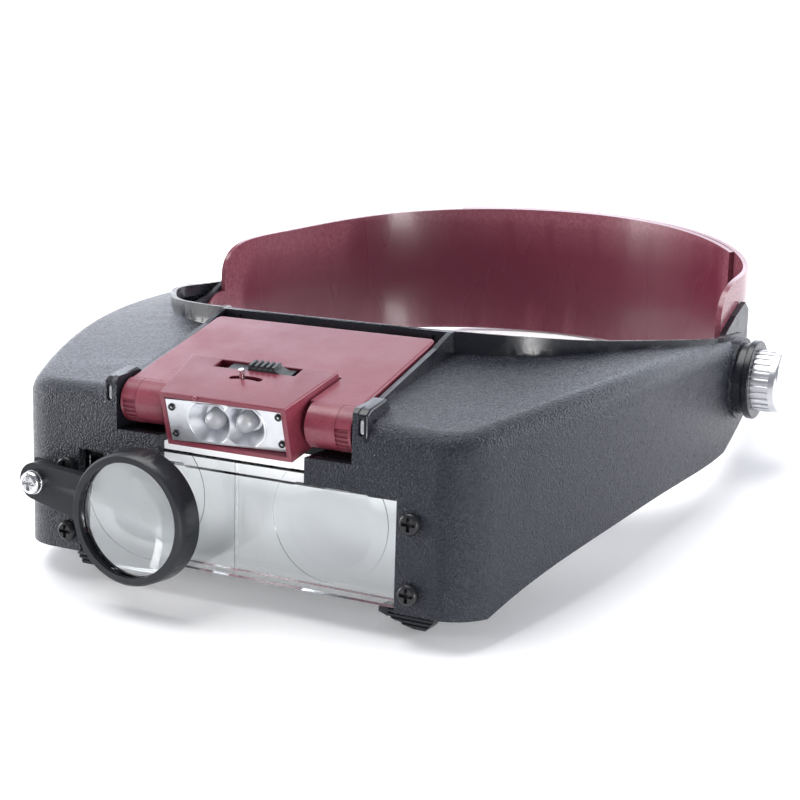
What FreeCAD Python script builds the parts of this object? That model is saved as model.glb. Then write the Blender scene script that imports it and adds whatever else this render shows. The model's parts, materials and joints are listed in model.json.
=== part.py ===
"""Head visor magnifier: a worn visor with a lamp, a loupe and two lens plates.

The model is built upright, as worn: +X to the wearer's left-hand side seen from the front,
+Y from the front of the visor back to the head strap, +Z up, with Y = 0 on the front wall.
At the end every piece is laid down by REST_TILT, so that the visor stands on a table on the
grip tabs of the flip-down lens and on the back of the head strap.
"""
import FreeCAD
import Part
import math
import os

V = FreeCAD.Vector
X_AXIS = V(1, 0, 0)
Y_AXIS = V(0, 1, 0)
Z_AXIS = V(0, 0, 1)

# ---------------------------------------------------------------- driving dimensions, mm
REST_TILT = 12.05            # degrees that the worn frame leans back on a table
CLEAR = 0.05                # running clearance, radial
WALL = 2.5                  # visor wall

FRONT_BOTTOM = -33.5        # lower edge of the front wall
CORNER_X = 62.5             # where the front line and the side line would meet
CORNER_RUN = 8.0            # length of the rounded front corner along the front line
SIDE = [(66.3, 9), (72.0, 22), (79.0, 41), (84.6, 62), (88.2, 86), (89.8, 108), (90.0, 126)]
BROW = [(86.2, 126), (86.0, 115), (84.9, 104), (79.3, 91), (71.0, 78.5), (61.5, 66.5), (50, 57),
        (36, 52), (0, 50.5)]
RIM = 1.6                   # thickness of the upturned rim behind the roof
LIP = 1.4                   # thickness of the lips beside the lamp recess
RIM_TOP = [(40, 24.7), (50.5, 24.7), (58, 24.0), (67, 23.1), (79, 22.4), (91, 21.8), (104, 21.0),
           (115, 20.5), (126, 20.2)]
SIDE_FOOT = [(7.5, -33.4), (22.7, -25.6), (42, -19.4), (66, -14.4), (102, -11.3), (108, -10.6)]

HUB_Y = 119.0               # ear pivot
HUB_Z = 8.5
EAR_OUT = 90.6              # outer face of the ear's pivot pad
EAR_IN = 87.0
STUD_R = 2.4                # clamp stud through each ear

RECESS_X = 33.3             # half width of the lamp recess
RECESS_BACK = 48.3
TAB_X = 20.7                # half gap between the tabs under the lamp
TAB_FOOT = -6.4
WINDOW_X = 45.2             # half width of the lens window

LENS_Y = WALL               # front face of the fixed lens plates
LENS_T = 2.6
LENS_X = 50.9
LENS_EYE = 10.6             # the round lenses' middle, below the top edge
LENS_OUT_R = 15.6
LENS_IN_R = 12.2
LENS_TOP = -4.6
LENS_FOOT = -33.2
SCREW_X = 48.9
SCREW_Z = (-11.6, -28.4)

FLIP_Y = 11.0               # flip lens hinge
FLIP_Z = -6.4
FLIP_LENS_X = 43.4
GRIP_FOOT = -39.2

LAMP_Y = 6.2                # axis of the lamp unit's barrel
LAMP_Z = 6.9
LAMP_SLOPE = 15.7           # degrees that the lamp unit's cover rises to the back
BARREL_R = 5.7
LAMP_X = 32.5               # half width of the lamp unit
TRAY_BACK = 40.4            # along the slope, from the barrel axis
TRAY_FOOT = -7.9
HINGE_S = 38.8              # hinge of the battery cover
HINGE_H = 3.3
COVER_T = 1.6
HOOD_FRONT = -8.5
HOOD_BACK = 13.2
HOOD_TOP = 7.5
HOOD_FOOT = -6.5
HOOD_X_FRONT = 17.6
HOOD_LEFT = -22.4            # the hood's rear corners
HOOD_RIGHT = 19.8
HOOD_WALL = 1.3
CELL_R = 5.2                # AAA cell
CELL_L = 44.5
CELL_H = -1.3
CELL_S = (17.4, 28.4)
CELL_SHIFT = 1.6            # each cell is pushed this far towards its plate
BAY_X = 24.6                # half length of the battery bay
BAY_FRONT = 11.8
BAY_BACK = 34.0

AIM_S = -8.0                # upright axis about which the reflector turns
AIM_REST = 4.0              # degrees that the lamps are turned to one side as stored
LEVER_REACH = 12.3          # from that axis to the aiming pin
LEVER_TURN = 4.7            # degrees that the pin stands off the reflector's middle
LEVER_R = 0.75
SLOT_ENDS = (-14.4, 20.2)   # ends of the crescent slot, degrees about the same axis
PIN_END_X = 35.55           # middle of the slot in each clip ear
PIN_END_LOW = 0.75          # centres of the slot's round ends, above the lamp pins' axis
PIN_END_HIGH = 3.35
EAR_X = 3.9                 # thickness of the clip ears beside the recess
LED_R = 2.5
CUP_X = 4.6                 # middles and radius of the reflector's two cups
CUP_R = 5.8
LED_X = 4.2                 # each lamp stands this far off the middle

LOUPE_X = -22.0             # centre of the small round lens
LOUPE_Z = -19.2
LOUPE_PIVOT_X = -53.6
LOUPE_PIVOT_Z = -14.8
LOUPE_R = 14.3              # clear radius
LOUPE_OUT_R = 16.4
LOUPE_FRONT = -11.6
RETAINER_DEPTH = 3.9        # snap ring's front face, behind the loupe's front face
LOUPE_BACK = -5.0

STRAP_T = 1.5
STRAP_X = 82.2              # middle of the strap where it lies along the ear
STRAP_PATH = [(82.2, 108), (82.2, 118), (82.2, 128), (80.4, 148), (70.8, 170), (44.2, 193), (0, 204)]
LAP_X = 34.0                # the outer strap ends this far past the middle of the back
LAP_BEND = (81.5, 146)       # where the outer strap has stepped out over the inner one
LAP_STEP = 1.65             # how far the outer strap stands off over the overlap
BOW_T = 1.6
BOW_IN = 83.0               # the band's flat inner and outer faces at the ear
BOW_OUT = 84.6
BOW_PATH = [(83.9, 145), (83.9, 136), (83.8, 128), (83.8, 119), (83.6, 108), (80.6, 94), (72.5, 80),
            (57, 67.5), (35, 59.8), (0, 57.6)]
PAD_T = 7.0

KNOB_R = 8.5
FLUTES = 28                 # grip flutes on each clamp knob


# ---------------------------------------------------------------- small helpers
def box(x0, x1, y0, y1, z0, z1):
    """A box between two corners."""
    return Part.makeBox(x1 - x0, y1 - y0, z1 - z0, V(x0, y0, z0))


def rod(start, axis, radius, length):
    """A cylinder that starts at a point and runs along an axis."""
    return Part.makeCylinder(radius, length, V(*start), axis)


def tube(start, axis, outer, inner, length):
    """A ring or sleeve."""
    return rod(start, axis, outer, length).cut(rod(start, axis, inner, length))


def face_of(points):
    """A flat face from a closed run of corner points."""
    return Part.Face(Part.makePolygon([V(*p) for p in points] + [V(*points[0])]))


def prism_yz(points, x0, x1):
    """An outline in Y and Z, drawn out along X."""
    return face_of([(x0, y, z) for y, z in points]).extrude(V(x1 - x0, 0, 0))


def prism_xz(points, y0, y1):
    """An outline in X and Z, drawn out along Y."""
    return face_of([(x, y0, z) for x, z in points]).extrude(V(0, y1 - y0, 0))


def prism_xy(points, z0, z1):
    """An outline in X and Y, drawn out along Z."""
    return face_of([(x, y, z0) for x, y in points]).extrude(V(0, 0, z1 - z0))


def mirrored(shape):
    """The same piece on the other side of the nose."""
    return shape.mirror(V(0, 0, 0), X_AXIS)


def spline(points):
    """A smooth edge through points."""
    curve = Part.BSplineCurve()
    curve.interpolate([V(*p) for p in points])
    return curve


def rounded(shape, radius, wanted):
    """Round the edges for which wanted(edge) is true."""
    edges = [e for e in shape.Edges if wanted(e)]
    return shape.makeFillet(radius, edges)


def offset_points(points, distance):
    """Shift a plan outline sideways, to the right of its direction of travel."""
    moved = []
    last = len(points) - 1
    for i, (x, y) in enumerate(points):
        x0, y0 = points[max(i - 1, 0)]
        x1, y1 = points[min(i + 1, last)]
        run = math.hypot(x1 - x0, y1 - y0)
        moved.append((x + distance * (y1 - y0) / run, y - distance * (x1 - x0) / run))
    return moved


def lamp_place(shape):
    """Move a piece from the lamp unit's own frame, (x, s, h), to the visor's."""
    placed = shape.copy()
    placed.rotate(V(0, 0, 0), X_AXIS, LAMP_SLOPE)
    placed.translate(V(0, LAMP_Y, LAMP_Z))
    return placed


def screw(point, axis, head_r, head_t, shank_r, shank_l):
    """A pan-head cross-recess screw; axis points out of the head."""
    p = V(*point)
    head = Part.makeCylinder(head_r, head_t, p, axis)
    head = rounded(head, head_t * 0.6, lambda e: e.CenterOfMass.sub(p).dot(axis) > head_t * 0.9)
    body = head.fuse(Part.makeCylinder(shank_r, shank_l, p, axis.negative()))
    side = axis.cross(X_AXIS)
    if side.Length < 0.5:
        side = axis.cross(Z_AXIS)
    other = axis.cross(side)
    width = head_r * 0.34
    for a, b in ((side, other), (other, side)):
        corner = p + axis * (head_t * 0.3) - a * (head_r * 0.66) - b * (width / 2)
        pts = [corner, corner + a * head_r * 1.32, corner + a * head_r * 1.32 + b * width,
               corner + b * width]
        slot = Part.Face(Part.makePolygon(pts + [pts[0]])).extrude(axis * head_t)
        body = body.cut(slot)
    return body


# ---------------------------------------------------------------- visor
def visor_plan(inset, back):
    """The visor seen from above, drawn tall; inset makes the hollow."""
    side = offset_points(SIDE, -inset)
    side[-1] = (side[-1][0], back)
    front = inset
    (xa, ya), (xb, yb) = side[0], side[1]
    pole = (xa - (ya - front) * (xb - xa) / (yb - ya), front)
    start = pole[0] - CORNER_RUN + inset * 0.5
    edges = []
    for sign in (1, -1):
        bend = Part.BezierCurve()
        bend.setPoles([V(sign * start, front, -50), V(sign * pole[0], front, -50),
                       V(sign * xa, ya, -50)])
        edges.append(bend.toShape())
        edges.append(spline([(sign * x, y, -50) for x, y in side]).toShape())
    edges.append(Part.makeLine(V(-start, front, -50), V(start, front, -50)))
    edges.append(Part.makeLine(V(-side[-1][0], back, -50), V(side[-1][0], back, -50)))
    wire = Part.Wire(Part.__sortEdges__(edges))
    return Part.Face(wire).extrude(V(0, 0, 100))


def under_roof(drop):
    """Everything below the roof's surface, or below its inner surface."""
    half = 96.0
    sections = []
    for y, middle, edge in ((-10, 6.9, 5.8), (55, 20.2, 16.9), (140, 20.9, 18.2)):
        a = V(-half, y, -60)
        b = V(half, y, -60)
        c = V(half, y, edge - drop)
        d = V(-half, y, edge - drop)
        top = Part.Arc(c, V(0, y, middle - drop), d).toShape()
        sections.append(Part.Wire([Part.makeLine(a, b), Part.makeLine(b, c), top,
                                   Part.makeLine(d, a)]))
    return Part.makeLoft(sections, True, False)


def hood_block(inset, radius, back):
    """The visor's outside, or its hollow, with a rounded top edge."""
    block = visor_plan(inset, back).common(under_roof(inset))
    return rounded(block, radius, lambda e: e.BoundBox.ZMin > 1 and e.BoundBox.YMin < 100)


def brow_plan(offset, low, high):
    """The space for the forehead, behind the roof, drawn between two heights."""
    right = offset_points(BROW, -offset)
    right[-1] = (0, right[-1][1])
    points = right + [(-x, y) for x, y in reversed(right[:-1])]
    curve = spline([(x, y, low) for x, y in points]).toShape()
    back = 170.0
    a = V(points[0][0], points[0][1], low)
    b = V(points[-1][0], points[-1][1], low)
    lines = [Part.makeLine(b, V(b.x, back, low)), Part.makeLine(V(b.x, back, low), V(a.x, back, low)),
             Part.makeLine(V(a.x, back, low), a)]
    return Part.Face(Part.Wire([curve] + lines)).extrude(V(0, 0, high - low))


def lid_height(y):
    """Height of the lamp cover's plane above a point."""
    slope = math.radians(LAMP_SLOPE)
    return LAMP_Z + BARREL_R / math.cos(slope) + (y - LAMP_Y) * math.tan(slope)


def below_foot():
    """The space under the visor's lower edge, from the front wall to the ears."""
    curve = spline([(-110, y, z) for y, z in SIDE_FOOT]).toShape()
    first, last = SIDE_FOOT[0], SIDE_FOOT[-1]
    corners = [last, (126, -2.6), (150, -2.6), (150, -70), (-20, -70), (-20, FRONT_BOTTOM), first]
    lines = [Part.makeLine(V(-110, *corners[i]), V(-110, *corners[i + 1])) for i in range(6)]
    return Part.Face(Part.Wire([curve] + lines)).extrude(V(220, 0, 0))


def recess_walls():
    """Floor, side lips and clip ears of the recess that holds the lamp unit."""
    lip = [(0, -1.8), (0, 12.2), (1.2, 13.2), (9, lid_height(9) + 0.2), (9.8, lid_height(9.8) - 0.9),
           (40, lid_height(40) - 0.7), (44, lid_height(44) - 0.2), (48.4, 24.7), (48.4, 7.6), (40, 5.2),
           (12, -1.8)]
    ear = [(0, -1.8), (0, 11.9), (1.4, 12.9), (2.6, 13.2), (9.2, lid_height(9.2) + 0.7),
           (11.2, lid_height(11.2) - 1.0), (11.2, -1.8)]
    floor = [(0, -1.8), (0, 0), (12.6, 0), (RECESS_BACK + 1, 10.1), (RECESS_BACK + 1, 8.2),
             (13.1, -1.8)]
    walls = prism_yz(floor, -RECESS_X - 1, RECESS_X + 1)
    walls = walls.cut(box(-TAB_X, TAB_X, -1, 9.8, -3, 1))
    for side in (1, -1):
        x = side * RECESS_X
        walls = walls.fuse(prism_yz(lip, x, x + side * LIP))
        block = prism_yz(ear, x, x + side * EAR_X)
        walls = walls.fuse(rounded(block, 0.7, lambda e: e.BoundBox.ZMax > 11.8))
        low, high = sorted((side * 28.4, side * 29.6))
        walls = walls.fuse(box(low, high, RECESS_BACK - 0.9, RECESS_BACK + 0.2, 12.5, 23.6))
    back = box(-RECESS_X - LIP, RECESS_X + LIP, RECESS_BACK, RECESS_BACK + RIM, 8.2, 24.7)
    return walls.fuse(back)


def pin_end(side, half, front):
    """Upright bar with round ends: the bent end of a lamp pin, or the slot that holds it."""
    x = side * PIN_END_X
    bar = box(x - half, x + half, front, LAMP_Y, LAMP_Z + PIN_END_LOW, LAMP_Z + PIN_END_HIGH)
    for z in (LAMP_Z + PIN_END_LOW, LAMP_Z + PIN_END_HIGH):
        bar = bar.fuse(rod((x, front, z), Y_AXIS, half, LAMP_Y - front))
    return bar.removeSplitter()


def visor_shell():
    """The black moulded visor: roof, sides, front wall, rim, ears and lamp recess."""
    shell = hood_block(0, 5.5, SIDE[-1][1]).cut(hood_block(WALL, 3.4, 150))
    rim = brow_plan(RIM, 0, 40).cut(brow_plan(0, -1, 41))
    rim = rim.common(visor_plan(1.0, SIDE[-1][1]))
    rim = rim.cut(visor_plan(WALL, 150).common(under_roof(WALL)))
    top = spline([(-100, y, z) for y, z in RIM_TOP])
    first, last = V(-100, *RIM_TOP[0]), V(-100, *RIM_TOP[-1])
    cap = Part.Wire([top.toShape(), Part.makeLine(last, V(-100, last.y, -20)),
                     Part.makeLine(V(-100, last.y, -20), V(-100, first.y, -20)),
                     Part.makeLine(V(-100, first.y, -20), first)])
    rim = rim.common(Part.Face(cap).extrude(V(200, 0, 0)))
    shell = shell.cut(brow_plan(0, -60, 60))
    shell = shell.fuse(rim)
    shell = shell.cut(below_foot())
    for side in (1, -1):
        pad = rod((side * EAR_IN, HUB_Y, HUB_Z), X_AXIS * side, 11.2, EAR_OUT - EAR_IN)
        shell = shell.fuse(pad)
    shell = shell.cut(box(-RECESS_X, RECESS_X, -1, RECESS_BACK, 0, 40))
    shell = shell.cut(box(-RECESS_X, RECESS_X, WALL, RECESS_BACK, -3, 40))
    shell = shell.fuse(recess_walls())
    shell = shell.cut(box(-WINDOW_X, WINDOW_X, -1, WALL, -50, TAB_FOOT))
    shell = shell.cut(box(-TAB_X, TAB_X, -1, 6, -50, 0.5))
    shell = shell.removeSplitter()
    for side in (1, -1):
        bore = rod((side * 84, HUB_Y, HUB_Z), X_AXIS * side, STUD_R + 0.6, 9)
        shell = shell.cut(bore)
        pin_hole = rod((side * 33, LAMP_Y, LAMP_Z), X_AXIS * side, 1.5, 3.9)
        shell = shell.cut(pin_hole)
        shell = shell.cut(pin_end(side, 0.75, -1))
        for z in SCREW_Z:
            shell = shell.cut(rod((side * SCREW_X, -1, z), Y_AXIS, 1.4 + CLEAR, 6))
    return shell


def hub_disc(side):
    """Black friction disc between the ear and the clamp knob."""
    disc = tube((side * EAR_OUT, HUB_Y, HUB_Z), X_AXIS * side, 9.9, STUD_R + 0.6, 2.2)
    groove = tube((side * (EAR_OUT + 1.7), HUB_Y, HUB_Z), X_AXIS * side, 8.2, 6.6, 0.5)
    return disc.cut(groove)


# ---------------------------------------------------------------- fixed and flip-down lenses
def plate_lens(x0, x1, y, thick, z0, z1, crown):
    """Half of the front lens: a plate with a shallow crowned back."""
    plate = box(x0, x1, y, y + thick, z0, z1)
    middle_x = (x0 + x1) / 2
    middle_z = z1 - LENS_EYE
    step = rod((middle_x, y + thick - 0.1, middle_z), Y_AXIS, LENS_OUT_R, 0.4)
    back = y + thick + 0.3
    radius = (LENS_IN_R ** 2 + crown ** 2) / (2 * crown)
    cap = Part.makeSphere(radius, V(middle_x, back + crown - radius, middle_z))
    cap = cap.common(box(x0, x1, back - 0.1, back + 5, z0 - 9, z1 + 9))
    return plate.fuse(step.fuse(cap).common(box(x0, x1, y, y + 10, z0, z1)))


def front_lens(side):
    """One half of the fixed front lens plate."""
    plate = plate_lens(0.05, LENS_X, LENS_Y, LENS_T, LENS_FOOT, LENS_TOP, 0.7)
    for z in SCREW_Z:
        plate = plate.cut(rod((SCREW_X, 0, z), Y_AXIS, 1.4 + CLEAR, 12))
    return plate if side > 0 else mirrored(plate)


def lens_strip(side):
    """Strip behind each end of the front plates, which the screws bite into."""
    y = LENS_Y + LENS_T
    strip = box(46.9, 50.9, y, y + 2.6, -31.5, -9.0)
    for z in SCREW_Z:
        strip = strip.cut(rod((SCREW_X, 0, z), Y_AXIS, 1.4, 12))
    return strip if side > 0 else mirrored(strip)


def lens_screws():
    """Four black screws that hold the front plates."""
    parts = []
    for side in (1, -1):
        for z in SCREW_Z:
            parts.append(screw((side * SCREW_X, 0, z), Y_AXIS.negative(), 2.6, 1.5, 1.4, 7.4))
    return Part.makeCompound(parts)


def flip_bracket(side):
    """Hinge bracket for the flip lens, on the back of the front wall."""
    outline = [(WALL, -3.4), (WALL, 5.0), (8, 5.0), (14.2, -1.8), (14.2, -10.2), (8.6, -10.2),
               (8.6, -3.4)]
    bracket = prism_yz(outline, 48.4, 52.0)
    bracket = bracket.cut(rod((48, FLIP_Y, FLIP_Z), X_AXIS, 1.2 + CLEAR, 6))
    return bracket if side > 0 else mirrored(bracket)


def flip_frame(side):
    """End frame of the flip lens, with its ribbed grip tab."""
    bar = box(FLIP_LENS_X, 47.6, 8.6, 13.2, -34.4, FLIP_Z)
    knuckle = rod((FLIP_LENS_X, FLIP_Y, FLIP_Z), X_AXIS, 3.2, 47.6 - FLIP_LENS_X)
    frame = bar.fuse(knuckle)
    low = GRIP_FOOT
    grip = prism_xz([(37.5, -35.2), (37.5, -36.4), (44, low + 0.6), (47, low), (50, low),
                     (51.8, low + 2.2), (51.8, -34.0), (43.4, -34.0)], 7.2, 13.0)
    frame = frame.fuse(grip)
    for i in range(4):
        z = -35.2 - i * 1.0
        frame = frame.cut(box(40, 53, 6.6, 7.7, z - 0.25, z + 0.25))
    frame = frame.cut(box(FLIP_LENS_X - 1, 44.6, 9.4, 11.6, -33.6, -9.4))
    frame = frame.cut(rod((FLIP_LENS_X - 1, FLIP_Y, FLIP_Z), X_AXIS, 1.2, 10))
    return frame if side > 0 else mirrored(frame)


def flip_lens():
    """The flip-down lens plate, held in grooves of the two end frames."""
    plate = box(-44.6, 44.6, 9.4, 11.6, -33.6, -9.4)
    half = 11.4
    crown = 0.9
    radius = (half * half + crown * crown) / (2 * crown)
    for x in (-21.7, 21.7):
        cap = Part.makeSphere(radius, V(x, 11.6 + crown - radius, -21.5))
        plate = plate.fuse(cap.common(box(x - 15, x + 15, 11.5, 14, -33.4, -9.6)))
    return plate


def flip_pins():
    """Two steel hinge pins of the flip lens."""
    pin = rod((43.6, FLIP_Y, FLIP_Z), X_AXIS, 1.2, 8.2)
    return Part.makeCompound([pin, mirrored(pin)])


# ---------------------------------------------------------------- side loupe
def loupe_bracket():
    """Bracket on the front wall that carries the loupe's pivot."""
    plate = prism_xz([(-58.6, -10.4), (-52.0, -11.4), (-52.0, -19.6), (-58.6, -19.6)], -1.2, 0)
    boss = rod((LOUPE_PIVOT_X, 0, LOUPE_PIVOT_Z), Y_AXIS.negative(), 2.8, 2.9)
    flange = rod((LOUPE_PIVOT_X, -1.75, LOUPE_PIVOT_Z), Y_AXIS.negative(), 4.6, 1.15)
    base = plate.fuse(boss).fuse(flange)
    return base.cut(rod((LOUPE_PIVOT_X, 1, LOUPE_PIVOT_Z), Y_AXIS.negative(), 1.4, 5))


def loupe_ring():
    """Round holder of the loupe with its swing arm, moulded in one."""
    profile = face_of([(LOUPE_R, LOUPE_FRONT, 0), (LOUPE_OUT_R - 0.6, LOUPE_FRONT, 0),
                       (LOUPE_OUT_R, LOUPE_FRONT + 0.7, 0), (LOUPE_OUT_R + 0.5, LOUPE_BACK, 0),
                       (15.2, LOUPE_BACK, 0), (15.2, LOUPE_FRONT + 1.4, 0),
                       (LOUPE_R, LOUPE_FRONT + 1.4, 0)])
    ring = profile.revolve(V(0, 0, 0), Y_AXIS, 360)
    ring.translate(V(LOUPE_X, 0, LOUPE_Z))
    reach_x = LOUPE_X - LOUPE_PIVOT_X
    reach_z = LOUPE_Z - LOUPE_PIVOT_Z
    reach = math.hypot(reach_x, reach_z)
    arm = face_of([(0, -7.0, 4.8), (0, -7.0, -4.8), (reach - 14, -7.0, -6.4),
                   (reach - 14, -7.0, 5.6)]).extrude(V(0, 3.0, 0))
    arm = arm.fuse(rod((0, -7.0, 0), Y_AXIS, 4.8, 4.0))
    arm.rotate(V(0, 0, 0), Y_AXIS, -math.degrees(math.atan2(reach_z, reach_x)))
    arm.translate(V(LOUPE_PIVOT_X, 0, LOUPE_PIVOT_Z))
    arm = arm.cut(rod((LOUPE_X, -20, LOUPE_Z), Y_AXIS, 15.6, 30))
    holder = ring.fuse(arm).removeSplitter()
    return holder.cut(rod((LOUPE_PIVOT_X, -9, LOUPE_PIVOT_Z), Y_AXIS, 1.4 + CLEAR, 8))


def loupe_lens():
    """Biconvex glass of the loupe."""
    rim_half = 1.0
    crown = 1.5
    edge = 15.1
    radius = (edge * edge + crown * crown) / (2 * crown)
    y = LOUPE_FRONT + 1.4 + rim_half + crown - 1.0
    disc = rod((LOUPE_X, y - rim_half, LOUPE_Z), Y_AXIS, edge, 2 * rim_half)
    for side in (1, -1):
        middle = V(LOUPE_X, y + side * (rim_half + crown - radius), LOUPE_Z)
        cap = Part.makeSphere(radius, middle)
        window = rod((LOUPE_X, y + side * (rim_half - 0.05), LOUPE_Z), Y_AXIS * side, 14.2, 4)
        disc = disc.fuse(cap.common(window))
    return disc


def loupe_retainer():
    """Snap ring behind the loupe's glass."""
    y = LOUPE_FRONT + RETAINER_DEPTH
    return tube((LOUPE_X, y, LOUPE_Z), Y_AXIS, 15.2, 14.2, 1.8)


def loupe_screw():
    """Bright pan-head screw that the loupe turns on."""
    point = (LOUPE_PIVOT_X, -7.9, LOUPE_PIVOT_Z)
    return screw(point, Y_AXIS.negative(), 2.9, 1.8, 1.4, 7.8)


def loupe_washer():
    """Spring washer under the loupe screw's head."""
    return tube((LOUPE_PIVOT_X, -7.9, LOUPE_PIVOT_Z), Y_AXIS, 3.1, 1.4 + CLEAR, 0.8)


# ---------------------------------------------------------------- lamp unit, in its own frame
def lamp_housing():
    """Red moulded tray with the battery bay and the two halves of the barrel."""
    tray = box(-LAMP_X, LAMP_X, 10.4, TRAY_BACK, TRAY_FOOT, BARREL_R - COVER_T)
    tray = rounded(tray, 1.5, lambda e: e.BoundBox.YMin > TRAY_BACK - 0.1 and e.BoundBox.XLength < 0.1)
    bay = box(-BAY_X, BAY_X, BAY_FRONT, BAY_BACK, TRAY_FOOT + 1.2, 10)
    rear = box(-LAMP_X + 1.4, LAMP_X - 1.4, BAY_BACK + 1.4, TRAY_BACK - 1.4, TRAY_FOOT + 1.2, 10)
    tray = tray.cut(bay).cut(rear)
    for side in (1, -1):
        x = side * 20.2
        length = 8.0
        barrel = rod((x, 0, 0), X_AXIS * side, BARREL_R, length)
        for angle in (182, 213, 244):
            flat = box(-40, 40, -20, -BARREL_R * math.cos(math.radians(15.5)), -20, 20)
            flat.rotate(V(0, 0, 0), X_AXIS, angle - 180)
            barrel = barrel.cut(flat)
        low, high = sorted((x, side * 28.2))
        web = box(low, high, 0, 10.4, -BARREL_R + 0.9, BARREL_R - COVER_T)
        barrel = barrel.fuse(web)
        low, high = sorted((side * 28.2, side * LAMP_X))
        end = rod((side * 28.2, 0, 0), X_AXIS * side, 3.6, LAMP_X - 28.2)
        end = end.fuse(box(low, high, 6.4, 10.4, -BARREL_R + 0.9, BARREL_R - COVER_T))
        barrel = barrel.fuse(end)
        barrel = barrel.cut(rod((side * 26.8, 0, 0), X_AXIS * side, 1.5 + CLEAR, 8))
        barrel = barrel.cut(box(-40, 40, 0.4, 12, BARREL_R - COVER_T, 9))
        tray = tray.fuse(barrel)
    tray = tray.cut(box(-LAMP_X + 0.9, LAMP_X - 0.9, TRAY_BACK - 3.2, TRAY_BACK + 1, 1.0, 10))
    cheek = rod((-LAMP_X, HINGE_S, HINGE_H), X_AXIS, 0.8, 2 * LAMP_X)
    cheek = cheek.fuse(box(-LAMP_X, LAMP_X, HINGE_S, HINGE_S + 0.8, 0.9, HINGE_H))
    swept = box(-LAMP_X, LAMP_X, HINGE_S, TRAY_BACK + 1, 0.9, 10).cut(cheek)
    tray = tray.cut(swept)
    for side in (1, -1):
        tray = tray.cut(rod((side * (LAMP_X - 2), HINGE_S, HINGE_H), X_AXIS * side, 0.6, 4))
    return lamp_place(tray.removeSplitter())


def barrel_collar(side):
    """Ribbed finger collar on the end of the barrel."""
    collar = tube((side * 28.3, 0, 0), X_AXIS * side, BARREL_R, 3.6, LAMP_X - 28.3)
    collar = collar.cut(box(-40, 40, 6.2, 9, -9, 9))
    collar = collar.cut(box(-40, 40, 0.4, 9, BARREL_R - COVER_T, 9))
    for i in range(9):
        angle = math.radians(160 + i * 12)
        y = BARREL_R * math.cos(angle)
        z = BARREL_R * math.sin(angle)
        collar = collar.cut(rod((side * 28.3, y, z), X_AXIS * side, 0.5, 3.5))
    return lamp_place(collar)


def battery_cover():
    """Flat red battery cover, cut out round the lamp hood and hinged at the back."""
    cover = box(-LAMP_X, LAMP_X, 0.5, TRAY_BACK + 0.4, BARREL_R - COVER_T + 0.05, BARREL_R)
    cover = rounded(cover, 1.7, lambda e: e.Length < COVER_T + 0.1 and e.BoundBox.YMin > 30)
    cover = rounded(cover, 0.6, lambda e: e.BoundBox.ZMin > BARREL_R - 0.01 and e.BoundBox.YMax > 5)
    cover = cover.cut(hood_plan(0.5).extrude(V(0, 0, 10)))
    hinge = rod((-30.4, HINGE_S, HINGE_H), X_AXIS, 1.3, 60.8)
    hinge = hinge.fuse(box(-30.4, 30.4, HINGE_S - 1.3, HINGE_S + 1.3, HINGE_H, 4.4))
    cover = cover.fuse(hinge).cut(rod((-40, HINGE_S, HINGE_H), X_AXIS, 0.6 + CLEAR, 80))
    for side in (1, -1):
        low, high = sorted((side * 22.4, side * 23.6))
        cover = cover.fuse(box(low, high, BAY_FRONT + 0.1, BAY_FRONT + 1.2, 2.8, 4.5))
    return lamp_place(cover.removeSplitter())


def cover_pins():
    """Pair of hinge pins of the battery cover."""
    pin = rod((29.4, HINGE_S, HINGE_H), X_AXIS, 0.6, 2.8)
    return lamp_place(Part.makeCompound([pin, mirrored(pin)]))


def hood_plan(margin):
    """The hood's outline from above, made larger all round."""
    front = HOOD_FRONT - margin
    back = HOOD_BACK + margin
    return face_of([(-HOOD_X_FRONT - margin, front, 0), (HOOD_X_FRONT + margin, front, 0),
                    (HOOD_RIGHT + margin, back, 0), (HOOD_LEFT - margin, back, 0)])


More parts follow.
